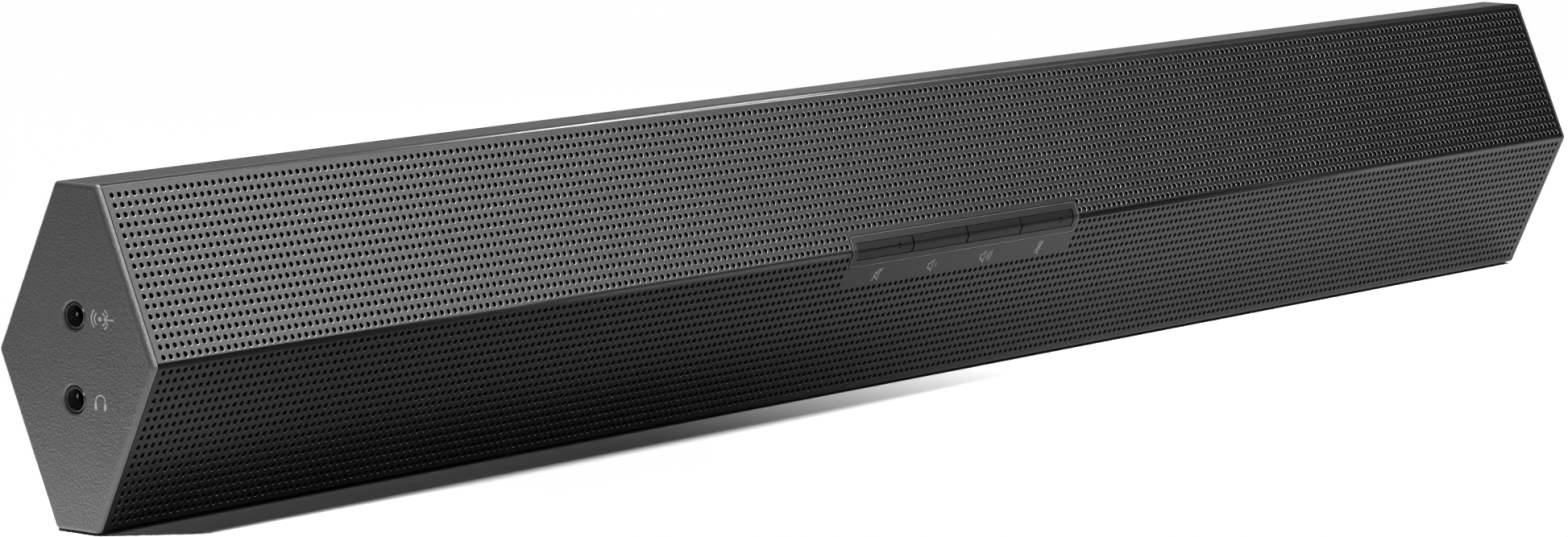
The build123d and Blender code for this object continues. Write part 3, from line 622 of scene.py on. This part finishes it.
# One square of sheet with its hole: the face, a rim eased by the punch, the wall and the back.
radius = reckon(punched, "MULTIPLY", given, "Hole width", 0.5)
rim_radius = reckon(punched, "ADD", radius, "Value", (given, "Rim"))
flats = []
for hole_radius in (rim_radius, radius):
    square = add(punched, "GeometryNodeCurvePrimitiveQuadrilateral")
    hole = add(punched, "GeometryNodeCurvePrimitiveCircle")
    outline = add(punched, "GeometryNodeJoinGeometry")
    flat = add(punched, "GeometryNodeFillCurve")
    wire(
        punched, given, "Pitch", square, "Width", given, "Pitch", square, "Height",
        hole_radius, "Value", hole, "Radius", given, "Hole sides", hole, "Resolution",
        square, "Curve", outline, "Geometry", hole, "Curve", outline, "Geometry",
        outline, "Geometry", flat, "Curve",
    )
    flats.append(flat)
wall_tall = reckon(punched, "SUBTRACT", given, "Sheet", (given, "Rim fall"))
rim_cone = add(punched, "GeometryNodeMeshCone", fill_type="NONE")
wall = add(punched, "GeometryNodeMeshCylinder", fill_type="NONE")
wire(
    punched, given, "Hole sides", rim_cone, "Vertices", rim_radius, "Value", rim_cone, "Radius Top",
    radius, "Value", rim_cone, "Radius Bottom", given, "Rim fall", rim_cone, "Depth",
    given, "Hole sides", wall, "Vertices", radius, "Value", wall, "Radius",
    wall_tall, "Value", wall, "Depth",
)
# The rim faces are marked here; they later take the painted light of the rims.
marked_rim = add(
    punched, "GeometryNodeStoreNamedAttribute", {"Name": "punched_rim", "Value": True},
    data_type="BOOLEAN", domain="FACE",
)
wire(punched, rim_cone, "Mesh", marked_rim, "Geometry")
to_rim = reckon(punched, "MULTIPLY", given, "Rim fall", -1.0)
wall_reach = reckon(punched, "ADD", given, "Sheet", (given, "Rim fall"))
to_wall = reckon(punched, "MULTIPLY", wall_reach, "Value", -0.5)
to_back = reckon(punched, "MULTIPLY", given, "Sheet", -1.0)
square_of_sheet = add(punched, "GeometryNodeJoinGeometry")
for made, socket, drop, is_round, inside_out in (
    (flats[0], "Mesh", None, False, False),
    (marked_rim, "Geometry", to_rim, True, True),
    (wall, "Mesh", to_wall, True, True),
    (flats[1], "Mesh", to_back, False, True),
):
    shaded = add(punched, "GeometryNodeSetShadeSmooth", {"Shade Smooth": is_round})
    wire(punched, made, socket, shaded, "Geometry")
    last = shaded
    if drop:
        fall = add(punched, "ShaderNodeCombineXYZ")
        lowered = add(punched, "GeometryNodeTransform")
        wire(
            punched, drop, "Value", fall, "Z", fall, "Vector", lowered, "Translation",
            last, "Geometry", lowered, "Geometry",
        )
        last = lowered
    if inside_out:
        flipped = add(punched, "GeometryNodeFlipFaces")
        wire(punched, last, last.outputs[0].name, flipped, "Mesh")
        last = flipped
    wire(punched, last, last.outputs[0].name, square_of_sheet, "Geometry")

# The squares are welded into one sheet, its outer edge is closed, and it leans on to its face.
weld = 0.01 * mm
squares = add(punched, "GeometryNodeInstanceOnPoints")
real_squares = add(punched, "GeometryNodeRealizeInstances")
welded = add(punched, "GeometryNodeMergeByDistance", {"Distance": weld})
beside = add(punched, "GeometryNodeInputMeshEdgeNeighbors")
alone = reckon(punched, "LESS_THAN", beside, "Face Count", 1.5)
height_now = add(punched, "GeometryNodeInputPosition")
height_parts = add(punched, "ShaderNodeSeparateXYZ")
wire(punched, height_now, "Position", height_parts, "Vector")
on_face = reckon(punched, "GREATER_THAN", height_parts, "Z", -weld)
rim_edges = reckon(punched, "MULTIPLY", alone, "Value", (on_face, "Value"))
edge_drop = add(punched, "ShaderNodeCombineXYZ")
closed = add(punched, "GeometryNodeExtrudeMesh", mode="EDGES")
sealed = add(punched, "GeometryNodeMergeByDistance", {"Distance": weld})
leaned = add(punched, "GeometryNodeTransform")
real = add(punched, "GeometryNodeRealizeInstances")
painted = add(punched, "GeometryNodeSetMaterial")
painted_rim_light = add(punched, "GeometryNodeSetMaterial")
is_rim = add(
    punched, "GeometryNodeInputNamedAttribute", {"Name": "punched_rim"}, data_type="BOOLEAN"
)
wire(
    punched, left_plain, "Geometry", squares, "Points",
    square_of_sheet, "Geometry", squares, "Instance",
    squares, "Instances", real_squares, "Geometry", real_squares, "Geometry", welded, "Geometry",
    to_back, "Value", edge_drop, "Z", edge_drop, "Vector", closed, "Offset",
    welded, "Geometry", closed, "Mesh", rim_edges, "Value", closed, "Selection",
    closed, "Mesh", sealed, "Geometry", sealed, "Geometry", leaned, "Geometry",
    given, "Lean", leaned, "Rotation", given, "Ridge", leaned, "Translation",
    leaned, "Geometry", real, "Geometry", real, "Geometry", painted, "Geometry",
    given, "Finish", painted, "Material", painted, "Geometry", painted_rim_light, "Geometry",
    is_rim, "Attribute", painted_rim_light, "Selection", given, "Rim painted light", painted_rim_light, "Material",
    painted_rim_light, "Geometry", result, "Geometry",
)

# The rims of the holes carry painted light: a bright metal skin on the upper face as a painted
# highlight, and a dark one on the lower face as painted shade.
grille_paint = grained(
    "grille_paint", (0.002,) * 3, (0.005,) * 3, 0.00018, 0.000012, (0.34, 0.42), level=0.08
)
punched_rim = grained(
    "punched_rim", (0.13,) * 3, (0.2,) * 3, 0.0002, 0.000006, (0.28, 0.36), metal=1.0
)
lower_rim_painted_shade = grained(
    "lower_rim_painted_shade", (0.012,) * 3, (0.022,) * 3, 0.0002, 0.000006, (0.34, 0.42), metal=1.0
)
half_columns = (columns + 1) // 2
for side, first, count in (
    ("left", -(columns // 2), half_columns),
    ("right", 1, columns - half_columns),
):
    for face_name, up in (("upper", True), ("lower", False)):
        first_y = first_row if up else -(first_row + (rows - 1) * pitch)
        made_by(
            punched, f"grille_{face_name}_{side}", "bar",
            {
                "Pitch": pitch, "Hole width": hole_width, "Rim": hole_rim, "Rim fall": rim_fall,
                "Hole sides": hole_sides, "Sheet": sheet, "Columns": count, "Rows": rows,
                "First hole": (first * pitch, first_y, 0.0),
                "Plain half length": plain_half, "Plain height": plain_up if up else plain_down,
                "Lean": (slope if up else math.pi - slope, 0.0, 0.0),
                "Ridge": (0.0, -ridge_reach, mid_z), "Finish": grille_paint,
                # The upper rims get a painted highlight, the lower rims painted shade.
                "Rim painted light": punched_rim if up else lower_rim_painted_shade,
            },
        )


def bend(corner_y, corner_z, radius, start, end, steps=10):
    """Points round a bend of the sheet, between the directions that its two faces look in."""
    middle, half = (start + end) / 2, (end - start) / 2
    reach = radius / math.cos(half)
    y, z = corner_y - reach * math.cos(middle), corner_z - reach * math.sin(middle)
    angles = [start + (end - start) * step / steps for step in range(steps + 1)]
    return [(y + radius * math.cos(a), z + radius * math.sin(a)) for a in angles]


def down_face(distance, inset=0.0):
    """A point on the upper face at a distance from the ridge, as (y, z) about mid height."""
    y = -ridge_reach + distance * math.cos(slope)
    return y + inset * math.sin(slope), distance * math.sin(slope) - inset * math.cos(slope)


def over(points):
    """The same points on the other side of mid height."""
    return [(y, -z) for y, z in points]


def folded(name, paint, runs):
    """A piece of the sheet: each run is (outer points, inner points, x from, x to)."""
    bend_step = 0.3 * mm  # shorter faces than this belong to a bend and are shaded smooth
    form = bmesh.new()
    for outer, inner, x0, x1 in runs:
        loop = outer + inner[::-1]
        ends = [[form.verts.new((x, y, z + mid_z)) for y, z in loop] for x in (x0, x1)]
        count, shown = len(loop), len(outer)
        for i in range(count):
            j = (i + 1) % count
            side_face = form.faces.new((ends[0][i], ends[0][j], ends[1][j], ends[1][i]))
            length = (Vector(loop[i]) - Vector(loop[j])).length
            side_face.smooth = length < bend_step and i < shown - 1
        for end in ends:
            for i in range(shown - 1):
                form.faces.new((end[i], end[i + 1], end[count - 2 - i], end[count - 1 - i]))
    bmesh.ops.recalc_face_normals(form, faces=form.faces[:])
    return from_form(form, name, paint)


upper_look, top_look, lower_look = math.pi / 2 + slope, math.pi / 2, 3 * math.pi / 2 - slope
inner_ridge_y = -ridge_reach + sheet / math.sin(slope)
inner_flat_y = inner_ridge_y + (half_tall - sheet) / math.tan(slope)
top_outer = bend(-flat_reach, half_tall, fold_radius, upper_look, top_look)
top_inner = bend(inner_flat_y, half_tall - sheet, fold_radius - sheet, upper_look, top_look)
ridge_outer = bend(-ridge_reach, 0.0, ridge_radius, upper_look, lower_look)
ridge_inner = bend(inner_ridge_y, 0.0, ridge_radius - sheet, upper_look, lower_look)
lip_edge, bottom_edge = -2.9 * mm, -3.8 * mm
starts = [[down_face(field_start, inset)] for inset in (0.0, sheet)]
ends = [[down_face(field_end, inset)] for inset in (0.0, sheet)]
full_strip = (starts[0] + ends[0], starts[1] + ends[1])
top_strip = (ends[0] + top_outer[:1], ends[1] + top_inner[:1])
ridge_run = (starts[0] + ridge_outer + over(starts[0]), starts[1] + ridge_inner + over(starts[1]))
runs = [
    (
        over(ends[0] + top_outer + [(bottom_edge, half_tall)]),
        over(ends[1] + top_inner + [(bottom_edge, half_tall - sheet)]), -sheet_end, sheet_end,
    ),
    (*top_strip, -sheet_end, sheet_end),
    (*ridge_run, -sheet_end, -plain_half),
    (*ridge_run, plain_half, sheet_end),
]
for x0, x1 in ((-sheet_end, -field_half), (field_half, sheet_end)):
    runs += [(*full_strip, x0, x1), (*map(over, full_strip), x0, x1)]
grille_folds = folded("grille_folds", grille_paint, runs)
# The top lip takes a copy of the grille paint a few times lighter, with its specular level raised:
# a painted highlight along the fold.
lip_painted_highlight = grained(
    "lip_painted_highlight", (0.01,) * 3, (0.016,) * 3, 0.00018, 0.000012, (0.3, 0.4), level=1.0
)
lip_outer = top_outer + [(lip_edge, half_tall)]
lip_inner = top_inner + [(lip_edge, half_tall - sheet)]
top_lip = folded("grille_top_lip", lip_painted_highlight, [(lip_outer, lip_inner, -sheet_end, sheet_end)])
link_lamps("behind_left_out", "EXCLUDE", [desk, top_lip], ["lamp_behind"])
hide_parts("front_grille")

# The plain part round the button panel, with the panel's opening cut through the ridge.
bezel_half, bezel_tall, bezel_corner, bezel_gap = 35.6 * mm, 2.84 * mm, 0.7 * mm, 0.15 * mm
opening_tall = 2.975 * mm


def rounded_outline(half_x, low_z, high_z, corner, steps=6):
    """A rectangle with round corners as (x, z) points, anticlockwise."""
    points = []
    for cx, cz, turn in (
        (half_x - corner, high_z - corner, 0), (corner - half_x, high_z - corner, 1),
        (corner - half_x, low_z + corner, 2), (half_x - corner, low_z + corner, 3),
    ):
        for step in range(steps + 1):
            angle = (turn + step / steps) * math.pi / 2
            points.append((cx + corner * math.cos(angle), cz + corner * math.sin(angle)))
    return points


def skin_y(z, inset):
    """How far forward the sheet is at a height from the ridge, inset into it."""
    radius = ridge_radius - inset
    lean = math.pi / 2 - slope
    corner = -ridge_reach + inset / math.cos(lean)
    centre = corner + radius / math.cos(lean)
    if abs(z) < radius * math.sin(lean):
        return centre - math.sqrt(radius ** 2 - z ** 2)
    return corner + abs(z) / math.tan(slope)


plate = bmesh.new()
up_z, down_z = down_face(plain_up)[1], -down_face(plain_down)[1]
border = [(plain_half, up_z), (-plain_half, up_z), (-plain_half, down_z), (plain_half, down_z)]
opening = rounded_outline(
    bezel_half + bezel_gap, -opening_tall, opening_tall, bezel_corner + bezel_gap
)
for loop in (border, opening):
    corners = [plate.verts.new((x, 0.0, z)) for x, z in loop]
    for here, there in zip(corners, corners[1:] + corners[:1]):
        plate.edges.new((here, there))
bmesh.ops.triangle_fill(plate, edges=plate.edges[:], use_beauty=True, use_dissolve=False)
bend_tall, bend_cuts = ridge_radius * math.sin(math.pi / 2 - slope), 4
for step in range(-bend_cuts, bend_cuts + 1):
    everything = plate.verts[:] + plate.edges[:] + plate.faces[:]
    cut = (0, 0, bend_tall * step / bend_cuts)
    bmesh.ops.bisect_plane(plate, geom=everything, dist=1e-7, plane_co=cut, plane_no=(0, 0, 1))
thickness = bmesh.ops.extrude_face_region(plate, geom=plate.faces[:])["geom"]
inner_verts = {v for v in thickness if isinstance(v, bmesh.types.BMVert)}
for vert in plate.verts:
    vert.co.y = skin_y(vert.co.z, sheet if vert in inner_verts else 0.0)
    vert.co.z += mid_z
bmesh.ops.recalc_face_normals(plate, faces=plate.faces[:])
for one in plate.faces:
    on_bend = abs(one.calc_center_median().z - mid_z) < bend_tall
    one.smooth = abs(one.normal.x) < 0.5 and on_bend
from_form(plate, "grille_panel_surround", grille_paint)

# ---- Button bezel and buttons ----
# The bezel is a moulded frame that wraps the ridge in the same graphite as the sheet, with a hair
# line of painted highlight along its outer corner, where light would catch it. Four V-shaped rocker
# bars fill its slot, and the outer two carry a glossy black window on the ridge.
# The bezel's edges are made nine times lighter, a painted highlight where light would catch them.
bezel_skin = grained(
    "bezel_skin", (0.004,) * 3, (0.008,) * 3, 0.00018, 0.00001, (0.34, 0.42),
    edge=0.00007, level=0.06, wear_and_highlight_gain=9.0,
)
give(bezel_skin, "button_bezel")

# The hair line of painted highlight: points along the bezel's outline, and a thin four-sided rod
# that follows them.
line_radius, line_lift, line_step = 0.045 * mm, 0.08 * mm, 0.15 * mm
line_tall = bezel_tall - line_radius
outline = rounded_outline(bezel_half - line_radius, -line_tall, line_tall, bezel_corner, 4)
route = []
for (x0, z0), (x1, z1) in zip(outline, outline[1:] + outline[:1]):
    steps = max(1, int(abs(z1 - z0) / line_step))
    route += [(x0 + (x1 - x0) * k / steps, z0 + (z1 - z0) * k / steps) for k in range(steps)]
spine = [Vector((x, skin_y(z, -line_lift), z + mid_z)) for x, z in route]
hair_line, rings = bmesh.new(), []
for i, point in enumerate(spine):
    tangent = (spine[(i + 1) % len(spine)] - spine[i - 1]).normalized()
    above, below = (skin_y(route[i][1] + up, -line_lift) for up in (line_radius, -line_radius))
    out = Vector((0.0, -2 * line_radius, above - below)).normalized()
    aside = tangent.cross(out).normalized()
    ways = (out, aside, -out, -aside)
    rings.append([hair_line.verts.new(point + way * line_radius) for way in ways])
for here, there in zip(rings, rings[1:] + rings[:1]):
    for k in range(4):
        hair_line.faces.new((here[k], here[k - 1], there[k - 1], there[k])).smooth = True
bmesh.ops.recalc_face_normals(hair_line, faces=hair_line.faces[:])
# A pale paint on the rod, a painted highlight standing in for light on the bezel's corner.
painted_highlight_line = grained("painted_highlight_line", (0.12,) * 3, (0.2,) * 3, 0.00018, 0.000008, (0.3, 0.42))
from_form(hair_line, "bezel_rubbed_corner", painted_highlight_line)

# The buttons' edges are made sixteen times lighter, a painted highlight where light would catch
# their chamfers.
button_skin = grained(
    "button_skin", (0.002,) * 3, (0.004,) * 3, 0.00018, 0.000008, (0.3, 0.38),
    edge=0.00005, level=0.035, wear_and_highlight_gain=16.0,
)
buttons = ("mute_button", "volume_down_button", "volume_up_button", "microphone_mute_button")
give(button_skin, *buttons)
window_black = grained(
    "window_black", (0.002,) * 3, (0.003,) * 3, 0.0006, 0.000002, (0.1, 0.16), level=0.03
)
give(window_black, "mute_indicator", "microphone_mute_indicator")

# ---- Printed signs ----
# Pale grey pictograms, pad-printed in one thin coat: one below each button on the sheet, and
# one beside each jack on the cap. Each is a thin film of ink, with slightly uneven cover.
def pad_ink(name, dark, light):
    """Ink with tiny pin-holes in its cover."""
    material, tree, shader = new_material(name)
    skin = use(tree, fine_grain, Grain_size=0.00012, Cloud_size=0.001)
    ink = between(tree, skin, "Speck", (dark,) * 3, (light,) * 3, 0.3, 0.7)
    rough = spread(tree, skin, "Cloud", 0.5, 0.7)
    coat(tree, shader, ink, rough, skin, "Height", 0.000005)
    return material


panel_ink, cap_ink = pad_ink("panel_ink", 0.08, 0.13), pad_ink("cap_ink", 0.16, 0.26)
ink_coat, ink_layer = 0.015 * mm, 0.002 * mm


def arc(cx, cy, radius, start, end, steps=10):
    """Points along an arc, its angles in degrees."""
    angles = [math.radians(start + (end - start) * step / steps) for step in range(steps + 1)]
    return [(cx + radius * math.cos(a), cy + radius * math.sin(a)) for a in angles]


def stroke(points, width, closed=False):
    """Quads along a line of points with mitred corners."""
    line = [Vector(p) for p in points]
    count = len(line)
    sides = []
    for i, point in enumerate(line):
        before = line[i - 1] if i or closed else None
        after = line[(i + 1) % count] if i < count - 1 or closed else None
        into = (point - before if before is not None else after - point).normalized()
        out = (after - point).normalized() if after is not None else into
        across = Vector((-(into + out).y, (into + out).x)).normalized()
        reach = width / 2 / max(0.5, across.dot(Vector((-out.y, out.x))))
        sides.append((point + across * reach, point - across * reach))
    following = sides[1:] + sides[:1] if closed else sides[1:]
    return [(a, b, d, c) for (a, b), (c, d) in zip(sides, following)]


def printed(name, shapes, ink, centre, across, upward):
    """A film of ink from flat shapes in millimetres, laid where centre, across and upward say."""
    across, upward = Vector(across), Vector(upward)
    out = across.cross(upward)
    film = bmesh.new()
    for layer, quads in enumerate(shapes):
        top = out * (ink_coat + layer * ink_layer)
        for quad in quads:
            flat_points = [Vector(centre) + across * p[0] * mm + upward * p[1] * mm for p in quad]
            upper = [film.verts.new(p + top) for p in flat_points]
            lower = [film.verts.new(p - out * ink_coat) for p in flat_points]
            film.faces.new(upper)
            film.faces.new(lower[::-1])
            for i in range(len(quad)):
                j = (i + 1) % len(quad)
                film.faces.new((upper[i], lower[i], lower[j], upper[j]))
    bmesh.ops.recalc_face_normals(film, faces=film.faces[:])
    from_form(film, name, ink)


line_width, cap_line_width = 0.19, 0.27
speaker = [(-0.95, 0.46), (-0.42, 0.46), (0.4, 1.15), (0.4, -1.15), (-0.42, -0.46), (-0.95, -0.46)]
microphone = [(0.36, 0.65), (0.36, -0.05)] + arc(0, -0.05, 0.36, 0, -180)
microphone += [(-0.36, 0.65)] + arc(0, 0.65, 0.36, 180, 0)
# Each button's sign, drawn in millimetres about its own middle.
sign_marks = {
    "mute_sign": [
        stroke([(x + 0.15, y) for x, y in speaker], line_width, True),
        stroke([(-1.4, -1.2), (1.4, 1.2)], line_width),
    ],
    "volume_down_sign": [
        stroke([(x - 0.35, y) for x, y in speaker], line_width, True),
        stroke(arc(0.2, 0, 0.95, -28, 28), line_width),
    ],
    "volume_up_sign": [
        stroke([(x - 0.9, y) for x, y in speaker], line_width, True),
        stroke(arc(-0.55, 0, 0.95, -36, 36), line_width * 0.9),
        stroke(arc(-0.55, 0, 1.55, -38, 38), line_width * 0.9),
        stroke(arc(-0.55, 0, 2.15, -33, 33), line_width * 0.9),
    ],
    "microphone_mute_sign": [
        stroke([(x, y + 0.3) for x, y in microphone], line_width * 0.9, True),
        stroke([(0, -0.72), (0, -1.25)], line_width),
        stroke([(-0.5, -1.22), (0.5, -1.22)], line_width * 0.9),
        stroke(arc(0, 0.1, 0.72, -155, -25), line_width * 0.8),
        stroke([(-1.05, -0.95), (1.1, 1.25)], line_width),
    ],
}
sign_distance = 5.42 * mm
sign_y, sign_z = down_face(sign_distance)
up_lower_face = (0, -math.cos(slope), math.sin(slope))
for name, button in zip(sign_marks, buttons):
    low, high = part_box(button)
    centre = ((low.x + high.x) / 2, sign_y, mid_z - sign_z)
    printed(name, sign_marks[name], panel_ink, centre, (1, 0, 0), up_lower_face)

# Each jack's sign: its jack, how far in front it stands and its strokes, all in millimetres.
jack_signs = {
    "line_in_sign": (
        "line_in_jack", -5.35,
        [
            stroke(arc(0, 0, 0.22, 0, 360, 12), 0.3),
            stroke(arc(0, 0, 1.15, 128, 232), cap_line_width),
            stroke(arc(0, 0, 1.8, 130, 230), cap_line_width),
            stroke(arc(0, 0, 1.15, 28, 62, 5), cap_line_width),
            stroke(arc(0, 0, 1.8, 32, 58, 5), cap_line_width),
            stroke(arc(0, 0, 1.15, -62, -28, 5), cap_line_width),
            stroke(arc(0, 0, 1.8, -58, -32, 5), cap_line_width),
            stroke([(1.0, 0), (2.95, 0)], cap_line_width),
            stroke([(1.75, 0.8), (0.95, 0.0), (1.75, -0.8)], cap_line_width),
        ],
    ),
    "headphone_sign": (
        "headphone_jack", -5.4,
        [
            stroke([(-0.98, -0.6)] + arc(0, 0.22, 0.98, 180, 0, 16) + [(0.98, -0.6)], 0.2),
            stroke([(-0.96, -1.15), (-0.96, -0.95), (-1.04, -0.35), (-1.02, -0.12)], 0.5),
            stroke([(0.96, -1.15), (0.96, -0.95), (1.04, -0.35), (1.02, -0.12)], 0.5),
        ],
    ),
}
for name, (jack, y, shapes) in jack_signs.items():
    low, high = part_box(jack)
    centre = (cap_low.x, y * mm, (low.z + high.z) / 2)
    printed(name, shapes, cap_ink, centre, (0, -1, 0), (0, 0, 1))

# ---- End caps ----
# Two moulded plates with a fine matte grain close the ends, each with a rounded edge and a
# spigot inside the housing. Light catches the rounded edge along the upper front.
cap_skin = grained(
    "cap_skin", (0.02,) * 3, (0.044,) * 3, 0.00042, 0.00016, (0.4, 0.52), edge=0.00012, level=0.36
)
give(cap_skin, "left_end_cap", "right_end_cap")
